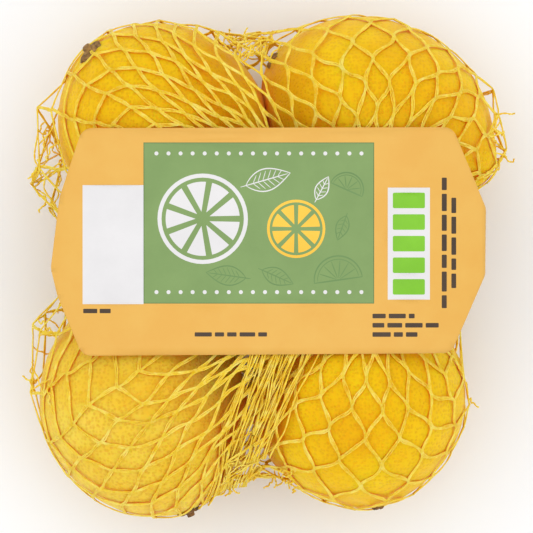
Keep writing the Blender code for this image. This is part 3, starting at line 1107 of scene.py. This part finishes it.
def label_piece(materials):
    outline = rounded(LABEL_OUTLINE)[::-1]
    points = []
    faces = []
    kinds = []
    for kind, shape in [(FILM_FRONT, outline)] + print_fields():
        area = sum(a[0] * b[1] - b[0] * a[1] for a, b in zip(shape, shape[1:] + shape[:1]))
        shape = shape if area > 0 else shape[::-1]
        start = len(points)
        points += [Vector(p) for p in shape]
        faces.append(list(range(start, start + len(shape))))
        kinds.append(kind)
    xs = np.arange(-64.0, 65.0, LABEL_GRID)
    ys = np.arange(-26.0, 41.0, LABEL_GRID)
    for x in xs:
        for y in ys:
            # A little off the whole numbers, so that no grid point falls on the edge of a field.
            points.append(Vector((x + 0.013, y + 0.017)))
    made, _, cells, _, _, owners = geometry.delaunay_2d_cdt(points, [], faces, 0, 1e-5)
    flat = np.array([tuple(p) for p in made])
    kept = [(cell, kinds[max(owner)]) for cell, owner in zip(cells, owners) if owner and 0 in owner]
    x = flat[:, 0]
    y = flat[:, 1]
    wave = 0.10 * np.sin(x / 9.0 + 0.5) * np.cos(y / 13.0) + 0.06 * np.sin(x / 4.1 + y / 6.0)
    rise = label_height(x, y) + 0.1 + wave
    top = np.column_stack((x, y, rise + LABEL_THICKNESS / 2))
    bottom = np.column_stack((x, y, rise - LABEL_THICKNESS / 2))
    count = len(flat)
    faces = [list(cell) for cell, _ in kept]
    slots = [kind for _, kind in kept]
    rim = {}
    for cell, _ in kept:
        for a, b in zip(cell, cell[1:] + cell[:1]):
            rim[a, b] = True
    for a, b in list(rim):
        if (b, a) not in rim:
            faces.append([b, a, a + count, b + count])
            slots.append(FILM_FRONT)
    faces += [[v + count for v in reversed(cell)] for cell, _ in kept]
    slots += [FILM_BACK] * len(kept)
    piece = make_piece("printed_label", np.concatenate((top, bottom)), faces, materials)
    piece.data.polygons.foreach_set("material_index", slots)
    return piece


# The pack

skin = lemon_material("lemon_skin", "EBB100", "EEBE00", "F2CA02", "D99C02", 0.42)
pale_skin = lemon_material("lemon_skin_pale", "EBB61C", "EFC734", "F3D550", "DA9E1C", 0.44)
lemon_skins = {"upper_left": skin, "upper_right": skin, "lower_left": pale_skin, "lower_right": skin}
for lemon in LEMONS:
    lemon_piece(lemon, lemon_skins[lemon["name"]])

dry_stem = stem_material("stem_dry", "50300C", "B48A4C")
dark_stem = stem_material("stem_dark", "42240A", "986A34")
stem_button("stem_upper_left", LEMONS[0], 3.6, 2.6, 2, 11, dry_stem, (0.0, 0.06))
stem_button("stem_upper_right", LEMONS[1], 2.4, 1.8, 4, 12, dry_stem, (0.06, 0.18))
stem_button("stem_lower_left", LEMONS[2], 3.0, 2.2, 4, 13, dark_stem)
stem_button("stem_lower_right", LEMONS[3], 1.7, 0.9, 5, 14, dark_stem)

contents = Contents()
rows = Rows()
directions, bunched = net_directions(contents, rows)
stitches, is_stitch = film(contents, directions)
stitches = slide(stitches, is_stitch, bunched)
strands = chaikin(chaikin(net_paths(stitches, is_stitch)))
filaments, filament_sides, filament_radii = add_filaments(strands)
net_look = net_material()
half = len(strands)
for index, part in enumerate(np.array_split(np.arange(half), 4)):
    chosen = np.concatenate((part, part + half, part + 2 * half))
    points, faces = tubes(filaments[chosen], filament_sides[chosen], filament_radii[chosen])
    net_piece = make_piece(f"net_{index + 1}", points, faces, net_look)
    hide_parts("filled_net")
loose, loose_sides = tangle_paths(strands)
loose_radii = LOOSE_RADIUS * (1 + 0.2 * np.cos(np.arange(LOOSE_STEPS) * 1.3))[None]
points, faces = tubes(loose, loose_sides, loose_radii)
make_piece("net_loose_ends", points, faces, net_look)

label = label_piece([print_material(*row) for row in PRINT_COLOURS])
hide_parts("label")

# Stage, light and camera

floor_look = Nodes("floor")
floor_tone = floor_look.ramp(
    floor_look.noise(3.0), (0.3, (0.94, 0.96, 0.99, 1.0)), (0.7, (0.95, 0.97, 1.0, 1.0))
)
floor_look.set(Base_Color=floor_tone, Roughness=0.9)
floor_mesh = bpy.data.meshes.new("floor")
floor_mesh.from_pydata([(-4, -4, 0), (4, -4, 0), (4, 4, 0), (-4, 4, 0)], [], [(0, 1, 2, 3)])
floor_mesh.materials.append(floor_look.material)
floor = new_object("floor", floor_mesh)

world = bpy.data.worlds.new("studio")
world.use_nodes = True
world.node_tree.nodes["Background"].inputs["Color"].default_value = (1.0, 1.0, 1.0, 1.0)
world.node_tree.nodes["Background"].inputs["Strength"].default_value = 0.92
bpy.context.scene.world = world


def area_light(name, place, size, power):
    data = bpy.data.lights.new(name, "AREA")
    data.shape = "DISK"
    data.size = size
    data.energy = power
    lamp = new_object(name, data)
    lamp.location = place
    lamp.rotation_euler = (-Vector(place)).to_track_quat("-Z", "Y").to_euler()


area_light("key", (-0.35, 0.45, 1.40), 2.2, 4.7)
area_light("fill", (0.55, -0.40, 1.20), 2.0, 2.2)

camera_data = bpy.data.cameras.new("camera")
camera_data.sensor_width = SENSOR_WIDTH
camera_data.lens = SENSOR_WIDTH * CAMERA_TO_PACK / SEEN_WIDTH
camera_data.clip_start = 0.1
camera_data.clip_end = 50.0
camera = new_object("camera", camera_data)
camera.location = (0.0, 0.0, CAMERA_HEIGHT)
camera.rotation_euler = (0.0, 0.0, 0.0)
bpy.context.scene.camera = camera
bpy.context.scene.view_settings.view_transform = "Standard"
